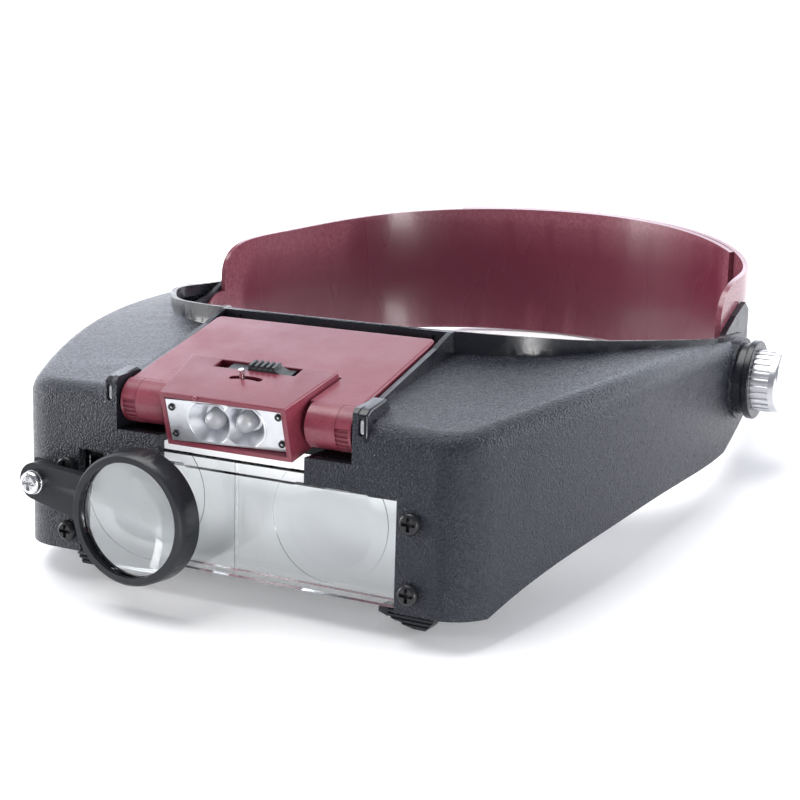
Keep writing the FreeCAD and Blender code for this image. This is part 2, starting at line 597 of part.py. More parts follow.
def lamp_hood():
    """Red hood over the lamps, with the switch window and the crescent slot in its top."""
    hood = hood_plan(0).extrude(V(0, 0, HOOD_TOP - HOOD_FOOT))
    hood.translate(V(0, 0, HOOD_FOOT))
    hood = rounded(hood, 0.5, lambda e: e.BoundBox.ZMin > HOOD_TOP - 0.01)
    t = HOOD_WALL
    inner = hood_plan(-t).extrude(V(0, 0, HOOD_TOP - HOOD_FOOT - 2 * t))
    inner.translate(V(0, 0, HOOD_FOOT + t))
    mouth = box(-HOOD_X_FRONT + t, HOOD_X_FRONT - t, HOOD_FRONT - 1, HOOD_FRONT + 2 * t,
                HOOD_FOOT + t, HOOD_TOP - t)
    hood = hood.cut(inner).cut(mouth)
    under = prism_yz([(1.0, HOOD_FOOT - 1), (1.0, HOOD_FOOT), (10.2, -3.4), (10.2, BARREL_R - COVER_T),
                      (HOOD_BACK + 1, BARREL_R - COVER_T), (HOOD_BACK + 1, HOOD_FOOT - 1)], -40, 40)
    hood = hood.cut(under)
    hood = hood.cut(box(-40, -20.1, -1, 40, -20, BARREL_R - COVER_T))
    hood = hood.cut(box(-12.8, 10.4, 8.2, 12.2, HOOD_TOP - 3, HOOD_TOP + 1))
    hood = rounded(hood, 0.3, lambda e: e.BoundBox.ZMin > HOOD_TOP - 0.01 and e.BoundBox.YMin > 8
                   and e.BoundBox.YMax < 12.5)
    slot = tube((0, AIM_S, HOOD_TOP - 3), Z_AXIS, LEVER_REACH + LEVER_R + 0.1,
                LEVER_REACH - LEVER_R - 0.1, 5)
    corners = [(0, AIM_S, HOOD_TOP - 3)]
    for end in SLOT_ENDS:
        x, y = lever_spot(end, 15)
        corners.append((x, y, HOOD_TOP - 3))
    slot = slot.common(face_of(corners).extrude(V(0, 0, 5)))
    for end in SLOT_ENDS:
        x, y = lever_spot(end, LEVER_REACH)
        slot = slot.fuse(rod((x, y, HOOD_TOP - 3), Z_AXIS, LEVER_R + 0.1, 5))
    return lamp_place(hood.cut(slot))


def lever_spot(degrees, reach):
    """Where a point at some reach stands when it has turned about the aiming axis."""
    turn = math.radians(degrees)
    return -reach * math.sin(turn), AIM_S + reach * math.cos(turn)


def lamp_pins():
    """Two bright pins in the visor's clip ears that the barrel turns on, with upturned ends."""
    pin = rod((27.6, LAMP_Y, LAMP_Z), X_AXIS, 1.5, 9.2)
    end = pin_end(1, 0.7, 0.5)
    pin = pin.fuse(rounded(end, 0.45, lambda e: e.BoundBox.YMax < 0.6))
    return Part.makeCompound([pin, mirrored(pin)])


def switch_body():
    """Slide switch under the hood's top."""
    body = box(-8.6, 8.6, 7.6, 10.4, 2.6, 4.0)
    body = body.fuse(box(-8.6, 8.6, 7.6, 10.1, 4.0, 4.9))
    return lamp_place(body.removeSplitter())


def switch_slider():
    """Ridged black thumb piece of the slide switch, with its dust skirt."""
    skirt = box(-9.3, 8.8, 8.3, 12.1, 5.0, 6.9)
    skirt = skirt.cut(box(-12, 12, 11.0, 12.2, 4, 6.2))
    thumb = prism_xz([(-3.4, 6.8), (-2.8, HOOD_TOP + 0.4), (4.8, HOOD_TOP + 0.4), (7.2, 6.8)], 8.5, 11.9)
    for i in range(5):
        x = -2.75 + i * 1.65
        ridge = prism_xz([(x, HOOD_TOP + 0.3), (x + 0.15, HOOD_TOP + 1.3), (x + 0.8, HOOD_TOP + 1.3),
                          (x + 0.95, HOOD_TOP + 0.3)], 8.5, 11.9)
        thumb = thumb.fuse(ridge)
    return lamp_place(skirt.fuse(thumb).removeSplitter())


def aimed(shape):
    """Turn a piece of the lamp aiming group to its stored direction, then place it."""
    turned = shape.copy()
    turned.rotate(V(0, AIM_S, 0), Z_AXIS, AIM_REST)
    return lamp_place(turned)


def reflector():
    """Bright reflector plate with two overlapping cups."""
    low, high = -5.0, 6.0
    plate = box(-15.9, 15.9, -7.7, -6.9, low, high)
    middle = 0.7
    inside = box(-12, 12, -8, 0, low + 0.45, high - 0.45)
    for x in (-CUP_X, CUP_X):
        bowl = Part.makeCone(CUP_R + 0.35, 3.3, 4.6, V(x, -6.95, middle), Y_AXIS)
        lip = rod((x, -7.9, middle), Y_AXIS, CUP_R + 0.3, 0.3).common(inside)
        plate = plate.fuse(bowl.common(box(-12, 12, -8, 0, low, high))).fuse(lip)
    for x in (-CUP_X, CUP_X):
        hollow = Part.makeCone(CUP_R, 3.0, 4.3, V(x, -8.0, middle), Y_AXIS)
        plate = plate.cut(hollow.common(inside))
        plate = plate.cut(rod((math.copysign(LED_X, x), -9, 0.6), Y_AXIS, LED_R + 0.1, 9))
    for x in (-14.4, 14.4):
        for z in (-3.0, 4.0):
            plate = plate.fuse(rod((x, -7.7, z), Y_AXIS.negative(), 0.75, 0.35))
    return aimed(plate.removeSplitter())


def led(side):
    """One 5 mm lamp with its flange."""
    x = side * LED_X
    body = rod((x, -5.4, 0.6), Y_AXIS, LED_R, 3.6)
    body = body.fuse(Part.makeSphere(LED_R, V(x, -5.4, 0.6)))
    flange = rod((x, -1.8, 0.6), Y_AXIS, 2.9, 0.9)
    return aimed(body.fuse(flange))


def led_board():
    """Little circuit board that carries the lamps."""
    board = box(-9.5, 9.5, -0.9, 0.5, -3.0, 4.2)
    resistor = box(-8.6, -6.0, 0.5, 1.3, -1.0, 0.6)
    return aimed(board.fuse(resistor))


def aim_carrier():
    """Post and bracket that carry the board and reach up to the lever."""
    post = box(-2.2, 2.2, 0.5, 1.7, -3.0, 5.1)
    x, y = lever_spot(LEVER_TURN, LEVER_REACH)
    arm = box(x - 1.6, x + 1.6, 0.5, y + 1.3, 4.95, 5.85)
    base = post.fuse(arm)
    return aimed(base.cut(rod((x, y, 4), Z_AXIS, LEVER_R, 4)))


def aim_lever():
    """Bright pin in the crescent slot that aims the lamps."""
    x, y = lever_spot(LEVER_TURN, LEVER_REACH)
    return aimed(rod((x, y, 4.95), Z_AXIS, LEVER_R, 4.7))


def battery(number):
    """One AAA cell, with its nub against a contact plate; the two lie opposite ways."""
    s = CELL_S[number]
    side = 1 if number == 0 else -1
    tail = -side * (CELL_L / 2 - CELL_SHIFT)
    can = rod((tail, s, CELL_H), X_AXIS * side, CELL_R, CELL_L - 0.9)
    nub = rod((tail + side * (CELL_L - 0.9), s, CELL_H), X_AXIS * side, 1.8, 0.9)
    return lamp_place(can.fuse(nub))


def contact_plates():
    """Sheet contacts at the two ends of the battery bay."""
    plate = box(CELL_L / 2 + CELL_SHIFT, BAY_X, BAY_FRONT + 0.5, BAY_BACK - 0.5, -5.6, 3.0)
    return lamp_place(Part.makeCompound([plate, mirrored(plate)]))


def contact_springs():
    """Closed coils that press on the flat ends of the cells."""
    parts = []
    gap = 2 * CELL_SHIFT
    turn = gap / 5
    for number in (0, 1):
        side = -1 if number == 0 else 1
        coil = tube((side * (CELL_L / 2 - CELL_SHIFT), CELL_S[number], CELL_H), X_AXIS * side,
                    2.7, 1.9, gap)
        for i in (0, 2, 4):
            x = side * (CELL_L / 2 - CELL_SHIFT + i * turn)
            coil = coil.fuse(tube((x, CELL_S[number], CELL_H), X_AXIS * side, 3.3, 1.9, turn))
        parts.append(coil)
    return lamp_place(Part.makeCompound(parts))


# ---------------------------------------------------------------- head strap and brow band
def strip(points, thick, low, high):
    """A strip that follows a plan path, between two heights."""
    outer = offset_points(points, thick / 2)
    inner = offset_points(points, -thick / 2)
    edges = [spline([(x, y, low) for x, y in outer]).toShape(),
             spline([(x, y, low) for x, y in inner]).toShape()]
    for i in (0, -1):
        edges.append(Part.makeLine(V(*outer[i], low), V(*inner[i], low)))
    wire = Part.Wire(Part.__sortEdges__(edges))
    return Part.Face(wire).extrude(V(0, 0, high - low))


def strap_side():
    """Side outline of the head strap: slanted front end, rising top, rising foot."""
    top = spline([(0, 120.6, 23.0), (0, 123.2, 29.2), (0, 129.5, 32.6), (0, 139, 34.2), (0, 155, 35.6),
                  (0, 180, 39.8), (0, 210, 45.0)])
    foot = spline([(0, 210, 2.4), (0, 175, -0.6), (0, 146, -2.8), (0, 128, -3.6), (0, 118, -2.5)])
    a, b = top.value(top.FirstParameter), top.value(top.LastParameter)
    c, d = foot.value(foot.FirstParameter), foot.value(foot.LastParameter)
    nose = Part.Arc(d, V(0, 109.8, 8.0), V(0, 116.5, 17.0)).toShape()
    edges = [top.toShape(), Part.makeLine(b, c), foot.toShape(), nose,
             Part.makeLine(V(0, 116.5, 17.0), V(0, 120.3, 18.0)), Part.makeLine(V(0, 120.3, 18.0), a)]
    face = Part.Face(Part.Wire(edges))
    face.translate(V(-100, 0, 0))
    return face.extrude(V(200, 0, 0))


def strap_left():
    """Inner strap, from the left ear round the back to just short of the right ear."""
    half = STRAP_PATH[:-1]
    path = STRAP_PATH[4:-1] + [STRAP_PATH[-1]] + [(-x, y) for x, y in reversed(half)]
    band = strip(path, STRAP_T, -15, 60).common(strap_side())
    return band.cut(rod((-STRAP_X - 3, HUB_Y, HUB_Z), X_AXIS, STUD_R + CLEAR, 6))


def strap_right():
    """Outer strap, from the right ear, lapped over the inner one round the back."""
    back = [(22.0, 201.3), (0, 204), (-22.0, 201.3), (-LAP_X, 197.8)]
    outer = offset_points(STRAP_PATH[:-1] + back, LAP_STEP)
    path = STRAP_PATH[:3] + [LAP_BEND] + outer[4:]
    band = strip(path, STRAP_T, -15, 60).common(strap_side())
    return band.cut(rod((STRAP_X - 3, HUB_Y, HUB_Z), X_AXIS, STUD_R + CLEAR, 6))


def strap_studs():
    """Press studs that join the straps where they overlap."""
    parts = []
    for x in (-14, 0, 14):
        for z in (14.0, 31.0):
            y = 204 - 2.7 * (x / 22.0) ** 2 + LAP_STEP + STRAP_T / 2
            shank = rod((x, y - 2.2, z), Y_AXIS, 1.6, 3.0)
            parts.append(shank.fuse(rod((x, y + 0.05, z), Y_AXIS, 3.4, 1.2)))
    return parts


def forehead_bow():
    """Black band inside the rim, from ear to ear across the forehead."""
    half = BOW_PATH[:-1]
    path = half + [BOW_PATH[-1]] + [(-x, y) for x, y in reversed(half)]
    band = strip(path, BOW_T, -20, 40)
    outline = [(50, -6), (50, 15.5), (72, 15.5), (98, 14), (114, 17.0), (130, 24.0), (139, 27.0),
               (143, 24.5), (143, -1), (132, -6)]
    band = band.common(prism_yz(outline, -BOW_OUT, BOW_OUT))
    band = band.cut(box(-BOW_IN, BOW_IN, 104, 129, -10, 30))
    for side in (1, -1):
        band = band.cut(rod((side * 80, HUB_Y, HUB_Z), X_AXIS * side, STUD_R + CLEAR, 8))
    return band


def forehead_pad():
    """Soft pad on the inside of the forehead band."""
    half = BOW_PATH[6:-1]
    path = half + [BOW_PATH[-1]] + [(-x, y) for x, y in reversed(half)]
    gap = BOW_T / 2 + PAD_T / 2 + 0.05
    shifted = offset_points(path, gap)
    return strip(shifted, PAD_T, -8, 13.5)


def pivot_stud(side):
    """Clamp stud with its flat head inside the strap."""
    head = rod((side * 79.7, HUB_Y, HUB_Z), X_AXIS * side, 5.2, 1.7)
    shank = rod((side * 81.0, HUB_Y, HUB_Z), X_AXIS * side, STUD_R, 18.6)
    return head.fuse(shank)


def pivot_washer(side):
    """Toothed washer between the forehead band and the ear."""
    washer = tube((side * BOW_OUT, HUB_Y, HUB_Z), X_AXIS * side, 7.4, STUD_R + CLEAR, 2.35)
    for i in range(24):
        angle = math.radians(i * 15)
        y = HUB_Y + 7.4 * math.cos(angle)
        z = HUB_Z + 7.4 * math.sin(angle)
        washer = washer.cut(rod((side * BOW_OUT, y, z), X_AXIS * side, 0.45, 2.4))
    return washer


def knob_washer(side):
    """Outer black disc under the clamp knob."""
    disc = tube((side * 92.95, HUB_Y, HUB_Z), X_AXIS * side, 10.9, STUD_R + 0.4, 2.0)
    return rounded(disc, 0.4, lambda e: e.Length > 60)


def clamp_knob(side):
    """Bright fluted clamp knob."""
    knob = rod((side * 95.0, HUB_Y, HUB_Z), X_AXIS * side, KNOB_R, 7.5)
    knob = rounded(knob, 1.3, lambda e: abs(e.CenterOfMass.x) > 100)
    for i in range(FLUTES):
        angle = 2 * math.pi * i / FLUTES
        y = HUB_Y + (KNOB_R + 0.1) * math.cos(angle)
        z = HUB_Z + (KNOB_R + 0.1) * math.sin(angle)
        knob = knob.cut(rod((side * 94.9, y, z), X_AXIS * side, 0.6, 4.9))
    return knob.cut(rod((side * 94.9, HUB_Y, HUB_Z), X_AXIS * side, STUD_R + CLEAR, 6.0))


# ---------------------------------------------------------------- the whole object
def pieces():
    """Every piece by name, upright as worn."""
    made = {
        "visor_shell": visor_shell(),
        "lens_screws": lens_screws(),
        "flip_lens": flip_lens(),
        "flip_pins": flip_pins(),
        "loupe_bracket": loupe_bracket(),
        "loupe_ring": loupe_ring(),
        "loupe_lens": loupe_lens(),
        "loupe_retainer": loupe_retainer(),
        "loupe_screw": loupe_screw(),
        "loupe_washer": loupe_washer(),
        "lamp_pivot_pins": lamp_pins(),
        "lamp_housing": lamp_housing(),
        "lamp_hood": lamp_hood(),
        "battery_cover": battery_cover(),
        "cover_pins": cover_pins(),
        "switch_body": switch_body(),
        "switch_slider": switch_slider(),
        "reflector": reflector(),
        "led_board": led_board(),
        "aim_carrier": aim_carrier(),
        "aim_lever": aim_lever(),
        "contact_plates": contact_plates(),
        "contact_springs": contact_springs(),
        "battery_front": battery(0),
        "battery_rear": battery(1),
        "strap_left": strap_left(),
        "strap_right": strap_right(),
        "forehead_bow": forehead_bow(),
        "forehead_pad": forehead_pad(),
    }
    studs = strap_studs()
    for stud in studs:
        made["strap_left"] = made["strap_left"].cut(stud)
        made["strap_right"] = made["strap_right"].cut(stud)
    made["strap_studs"] = Part.makeCompound(studs)
    for name, side in (("left", -1), ("right", 1)):
        made["front_lens_" + name] = front_lens(side)
        made["lens_strip_" + name] = lens_strip(side)
        made["flip_bracket_" + name] = flip_bracket(side)
        made["flip_frame_" + name] = flip_frame(side)
        made["hub_disc_" + name] = hub_disc(side)
        made["barrel_collar_" + name] = barrel_collar(side)
        made["led_" + name] = led(side)
        made["pivot_stud_" + name] = pivot_stud(side)
        made["pivot_washer_" + name] = pivot_washer(side)
        made["knob_washer_" + name] = knob_washer(side)
        made["clamp_knob_" + name] = clamp_knob(side)
    return made


def lay_down(shapes):
    """Tilt the worn frame back to its rest on a table, with the origin under its middle."""
    for shape in shapes.values():
        shape.rotate(V(0, 0, 0), X_AXIS, -REST_TILT)
    bounds = [shape.optimalBoundingBox(False) for shape in shapes.values()]
    front = min(b.YMin for b in bounds)
    back = max(b.YMax for b in bounds)
    shift = V(0, -(front + back) / 2, -min(b.ZMin for b in bounds))
    for shape in shapes.values():
        shape.translate(shift)
    return shift


def main():
    os.makedirs("parts", exist_ok=True)
    shapes = pieces()
    shift = lay_down(shapes)
    for name, shape in sorted(shapes.items()):
        solids = len(shape.Solids)
        if not shape.isValid() or solids == 0:
            print("BAD", name, solids)
        print(name, "solids", solids, "volume", round(shape.Volume))
        shape.exportStep("parts/" + name + ".step")
    print("rest shift", round(shift.y, 4), round(shift.z, 4))


main()
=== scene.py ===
"""Looks for the head visor magnifier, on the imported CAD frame."""
import json
import math

import bmesh
import bpy
from mathutils import Matrix, Vector
from mathutils.bvhtree import BVHTree


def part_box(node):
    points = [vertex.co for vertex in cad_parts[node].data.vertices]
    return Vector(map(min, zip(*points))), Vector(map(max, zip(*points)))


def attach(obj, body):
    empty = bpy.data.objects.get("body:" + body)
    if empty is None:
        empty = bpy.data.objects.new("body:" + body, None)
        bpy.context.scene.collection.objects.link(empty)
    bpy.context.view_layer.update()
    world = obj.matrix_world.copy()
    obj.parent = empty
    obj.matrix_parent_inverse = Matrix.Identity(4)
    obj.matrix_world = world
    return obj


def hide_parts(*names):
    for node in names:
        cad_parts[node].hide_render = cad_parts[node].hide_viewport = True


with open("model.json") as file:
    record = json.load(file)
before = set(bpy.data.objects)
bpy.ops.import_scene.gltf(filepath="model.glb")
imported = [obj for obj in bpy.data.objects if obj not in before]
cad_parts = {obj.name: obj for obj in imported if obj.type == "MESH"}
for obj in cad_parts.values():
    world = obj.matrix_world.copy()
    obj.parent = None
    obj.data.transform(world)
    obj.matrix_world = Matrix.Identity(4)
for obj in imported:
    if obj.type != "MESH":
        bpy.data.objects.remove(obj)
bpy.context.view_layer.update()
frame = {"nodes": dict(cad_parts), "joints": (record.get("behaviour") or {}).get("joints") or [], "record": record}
NODES = frame["nodes"]
JOINTS = {j["name"]: j for j in frame["joints"]}
BODY = {n: b for b, members in frame["record"]["behaviour"]["bodies"].items() for n in members}
scene = bpy.context.scene

MM = 0.001
LEAN = math.radians(12.05)   # the visor stands leaning back by this angle
X = Vector((1, 0, 0))
HUB = Vector(JOINTS["visor_tilt"]["pos_m"])
UPRIGHT = Matrix.Rotation(LEAN, 3, "X")

# the lamp unit's own frame: X to the right, S to the rear, H up
LAMP_O = Vector(JOINTS["lamp_tilt"]["pos_m"])
LAMP_H = Vector(JOINTS["lamp_aim"]["axis"])
LAMP_S = LAMP_H.cross(X)

# the reflector's frame, turned a little about the aiming axis
AIM_O = Vector(JOINTS["lamp_aim"]["pos_m"])
AIM_S = -8.0                 # place of the aiming axis in the lamp unit's frame, mm
AIM_TURN = Matrix.Rotation(math.radians(4.0), 3, LAMP_H)
AIM_SIDE = AIM_TURN @ X
AIM_FRONT = AIM_TURN @ LAMP_S


def lamp_point(x, s, h):
    """A point of the lamp unit's frame, given in mm, in the row frame."""
    return LAMP_O + (X * x + LAMP_S * s + LAMP_H * h) * MM


def aimed_point(x, s, h):
    """A point of the reflector's frame, given in mm, in the row frame."""
    return AIM_O + (AIM_SIDE * x + AIM_FRONT * (s - AIM_S) + LAMP_H * h) * MM


def worn(point):
    """A point of the row frame in the visor's upright frame, about the ear pivots."""
    return UPRIGHT @ (point - HUB)


# ------------------------------------------------------------ materials
class Shader:
    """A Principled material built up from small procedural layers."""

    def __init__(self, name, color, roughness, **sockets):
        self.mat = bpy.data.materials.new(name)
        self.mat.use_nodes = True
        self.tree = self.mat.node_tree
        self.bsdf = self.tree.nodes["Principled BSDF"]
        self.color = color
        self.roughness = roughness
        self.bsdf.inputs["Base Color"].default_value = (*color, 1.0)
        self.bsdf.inputs["Roughness"].default_value = roughness
        for key, value in sockets.items():
            self.bsdf.inputs[key.replace("_", " ")].default_value = value
        self.coord = self.tree.nodes.new("ShaderNodeTexCoord").outputs["Object"]
        self.normal = None

    def node(self, kind, **settings):
        made = self.tree.nodes.new("ShaderNode" + kind)
        for key, value in settings.items():
            if hasattr(made, key):
                setattr(made, key, value)
            else:
                made.inputs[key.replace("_", " ")].default_value = value
        return made

    def link(self, a, b):
        self.tree.links.new(a, b)

    def stretched(self, scale):
        """Object coordinates scaled by three numbers."""
        mapping = self.node("Mapping")
        mapping.inputs["Scale"].default_value = scale
        self.link(self.coord, mapping.inputs["Vector"])
        return mapping.outputs["Vector"]

    def noise(self, scale, detail=3.0, rough=0.55, stretch=None):
        made = self.node("TexNoise", Scale=scale, Detail=detail, Roughness=rough)
        self.link(self.stretched(stretch) if stretch else self.coord, made.inputs["Vector"])
        return made.outputs["Fac"]

    def cells(self, scale):
        made = self.node("TexVoronoi", feature="F1", Scale=scale)
        self.link(self.coord, made.inputs["Vector"])
        return made.outputs["Distance"]

    def ranged(self, value, low, high, to_low, to_high):
        made = self.node("MapRange", From_Min=low, From_Max=high, To_Min=to_low, To_Max=to_high)
        self.link(value, made.inputs["Value"])
        return made.outputs["Result"]

    def math(self, operation, a, b=0.0):
        made = self.node("Math", operation=operation)
        for socket, value in ((made.inputs[0], a), (made.inputs[1], b)):
            if isinstance(value, (int, float)):
                socket.default_value = value
            else:
                self.link(value, socket)
        return made.outputs[0]

    def tint(self, mask, color):
        """Shift the base colour towards another one where the mask is high."""
        mix = self.node("MixRGB")
        socket = self.bsdf.inputs["Base Color"]
        if socket.is_linked:
            self.link(socket.links[0].from_socket, mix.inputs["Color1"])
        else:
            mix.inputs["Color1"].default_value = (*self.color, 1.0)
        mix.inputs["Color2"].default_value = (*color, 1.0)
        self.link(mask, mix.inputs["Fac"])
        self.link(mix.outputs["Color"], socket)

    def vary_roughness(self, value, low, high):
        self.link(self.ranged(value, 0.35, 0.65, low, high), self.bsdf.inputs["Roughness"])

    def bump(self, height, distance, strength=1.0):
        made = self.node("Bump", Strength=strength, Distance=distance)
        self.link(height, made.inputs["Height"])
        if self.normal is not None:
            self.link(self.normal, made.inputs["Normal"])
        self.normal = made.outputs["Normal"]
        self.link(self.normal, self.bsdf.inputs["Normal"])

    def painted_edge_highlight(self, color, amount=0.5):
        """Painted edge highlight: lighter colour on sharp convex edges, broken up by noise."""
        # painted highlight: edges are tinted lighter where the pointiness is high
        point = self.node("NewGeometry").outputs["Pointiness"]
        edge = self.ranged(point, 0.505, 0.56, 0.0, amount)
        self.tint(self.math("MULTIPLY", edge, self.noise(900, 4)), color)


def black_grain():
    """Moulded black plastic with a fine pitted grain."""
    s = Shader("visor_grain", (0.0085, 0.0095, 0.0145), 0.24, Specular_IOR_Level=0.36,
               Specular_Tint=(0.88, 0.92, 1.0, 1.0))
    pits = s.noise(2300, 2.5, 0.6)
    fine = s.noise(5200, 2)
    lumps = s.math("SUBTRACT", pits, s.math("MULTIPLY", s.cells(1950), 0.55))
    grain = s.math("ADD", lumps, s.math("MULTIPLY", fine, 0.22))
    s.bump(grain, 0.00024, 1.0)
    s.tint(s.ranged(s.noise(38, 4), 0.35, 0.7, 0.0, 0.5), (0.013, 0.0145, 0.020))
    s.tint(s.ranged(pits, 0.52, 0.68, 0.0, 0.45), (0.026, 0.030, 0.042))
    s.vary_roughness(s.noise(800, 3), 0.18, 0.30)
    # faint painted highlight on the visor's edges
    s.painted_edge_highlight((0.10, 0.10, 0.115), 0.06)
    return s.mat


def black_satin(name, color, roughness, grain=0.5):
    """Moulded black plastic, with a light spark texture."""
    s = Shader(name, color, roughness, Specular_IOR_Level=0.36)
    s.bump(s.noise(2300, 3), 0.00008, grain)
    s.bump(s.noise(110, 2), 0.0002, 0.08)
    s.tint(s.ranged(s.noise(60, 4), 0.35, 0.7, 0.0, 0.6), tuple(c * 1.6 + 0.004 for c in color))
    s.vary_roughness(s.noise(170, 3), roughness - 0.06, roughness + 0.08)
    # faint painted highlight on the edges
    s.painted_edge_highlight((0.14, 0.14, 0.15), 0.06)
    return s.mat


def red_satin(name, color, roughness, coat):
    """Moulded burgundy plastic with faint flow marks and painted highlights on its edges."""
    s = Shader(name, color, roughness, Specular_IOR_Level=0.45, Coat_Weight=coat, Coat_Roughness=0.30)
    s.bump(s.noise(1700, 3), 0.00007, 0.45)
    s.bump(s.noise(70, 2), 0.0003, 0.06)
    s.tint(s.ranged(s.noise(26, 4, stretch=(1, 0.25, 1)), 0.35, 0.7, 0.0, 0.45),
           tuple(c * 1.35 + 0.01 for c in color))
    s.tint(s.ranged(s.noise(2600, 2), 0.62, 0.75, 0.0, 0.35), tuple(c * 2.0 + 0.02 for c in color))
    s.vary_roughness(s.noise(90, 4), roughness - 0.07, roughness + 0.09)
    # painted highlight on the edges
    s.painted_edge_highlight(tuple(min(1, c * 2.2 + 0.06) for c in color), 0.5)
    return s.mat


def strap_plastic():
    """Glossy burgundy sheet, softly wavy from being bent, with painted sheen in lighter vertical bands and painted
    highlights on its edges.
    """
    s = Shader("strap_plastic", (0.115, 0.017, 0.035), 0.26, Specular_IOR_Level=0.4,
               Coat_Weight=0.25, Coat_Roughness=0.12)
    s.bump(s.noise(9, 0.0, 0.3, stretch=(1.0, 1.0, 0.05)), 0.0100, 0.5)
    s.bump(s.noise(1100, 2), 0.00003, 0.2)
    # painted sheen: lighter, vertically stretched patches stand in for the highlights along the bends
    s.tint(s.ranged(s.noise(7, 0.0, stretch=(1, 1, 0.2)), 0.0, 1.0, 0.0, 0.6), (0.145, 0.025, 0.044))
    s.tint(s.ranged(s.noise(2600, 2), 0.66, 0.76, 0.0, 0.3), (0.20, 0.05, 0.07))
    s.vary_roughness(s.noise(30, 3, stretch=(1, 1, 0.2)), 0.23, 0.31)
    # painted highlight on the strap's edges
    s.painted_edge_highlight((0.40, 0.16, 0.19), 0.6)
    return s.mat


def clear(name, color, roughness, ior, through=1.0):
    """Clear acrylic or glass with faint polishing marks and dust."""
    s = Shader(name, color, roughness, Transmission_Weight=through, IOR=ior)
    s.vary_roughness(s.noise(230, 4), roughness, roughness + 0.035)
    s.bump(s.noise(34, 2), 0.0002, 0.06)
    s.tint(s.ranged(s.noise(90, 3), 0.55, 0.8, 0.0, 0.35), tuple(c * 0.93 for c in color))
    return s.mat


def metal(name, color, roughness, brush=None):
    """Bright metal, brushed along one axis or plated."""
    s = Shader(name, color, roughness, Metallic=1.0)
    if brush:
        s.bump(s.noise(900, 3, stretch=brush), 0.00004, 0.5)
    s.bump(s.noise(160, 3), 0.00004, 0.06)
    s.vary_roughness(s.noise(420, 4), max(0.03, roughness - 0.05), roughness + 0.07)
    s.tint(s.ranged(s.noise(300, 4), 0.5, 0.8, 0.0, 0.3), tuple(c * 0.80 for c in color))
    return s.mat


def cloth():
    """Brushed black knit over foam."""
    s = Shader("pad_cloth", (0.026, 0.026, 0.031), 0.88, Sheen_Weight=0.45, Sheen_Roughness=0.5)
    ribs = s.node("TexWave", wave_type="BANDS", bands_direction="Z", Scale=700, Distortion=1.2,
                  Detail=2.0)
    s.link(s.coord, ribs.inputs["Vector"])
    s.bump(ribs.outputs["Fac"], 0.00025, 0.5)
    s.bump(s.cells(1500), 0.00022, 0.6)
    s.tint(s.ranged(s.noise(1400, 3), 0.45, 0.75, 0.0, 0.7), (0.075, 0.075, 0.085))
    s.tint(s.ranged(s.noise(30, 3), 0.4, 0.7, 0.0, 0.5), (0.045, 0.045, 0.052))
    s.vary_roughness(s.noise(300, 3), 0.80, 0.95)
    return s.mat


def cell_sleeve():
    """Printed plastic sleeve of a cell, plain: dark, with one pale end band."""
    s = Shader("cell_sleeve", (0.05, 0.055, 0.07), 0.32, Metallic=0.4, Coat_Weight=0.4)
    split = s.node("SeparateXYZ")
    s.link(s.coord, split.inputs[0])
    s.tint(s.ranged(split.outputs["X"], 0.0118, 0.0121, 0.0, 1.0), (0.55, 0.33, 0.10))
    s.bump(s.noise(500, 3), 0.00004, 0.4)
    s.vary_roughness(s.noise(200, 3), 0.26, 0.40)
    return s.mat


def board_green():
    """Green circuit board with paler tracks."""
    s = Shader("board_green", (0.020, 0.12, 0.045), 0.35, Coat_Weight=0.3)
    s.tint(s.ranged(s.cells(900), 0.25, 0.3, 0.5, 0.0), (0.05, 0.22, 0.09))
    s.bump(s.noise(800, 2), 0.00005, 0.5)
    s.vary_roughness(s.noise(250, 3), 0.28, 0.45)
    return s.mat


GRAIN = black_grain()
SATIN = black_satin("black_satin", (0.010, 0.011, 0.014), 0.34)
SMOOTH = black_satin("black_smooth", (0.008, 0.009, 0.013), 0.25, 0.15)
SCREW_BLACK = black_satin("screw_black", (0.012, 0.012, 0.014), 0.30, 0.3)
SLIDER = black_satin("slider_grey", (0.032, 0.037, 0.040), 0.38, 0.6)
RED = red_satin("lamp_red", (0.145, 0.016, 0.031), 0.36, 0.12)
STUD_RED = red_satin("stud_red", (0.12, 0.015, 0.028), 0.28, 0.3)
STRAP = strap_plastic()
ACRYLIC = clear("acrylic", (0.955, 0.975, 0.972), 0.012, 1.49)
GLASS = clear("loupe_glass", (0.965, 0.972, 0.975), 0.02, 1.52)
EPOXY = clear("lamp_epoxy", (0.80, 0.80, 0.85), 0.09, 1.42, 0.62)
STEEL = metal("steel", (0.72, 0.72, 0.73), 0.24, (1, 1, 12))
PLATED = metal("plated_knob", (0.88, 0.88, 0.90), 0.33, (1, 9, 9))
MIRROR = metal("metallised", (0.66, 0.67, 0.70), 0.40)
CLOTH = cloth()
CELL = cell_sleeve()
BOARD = board_green()

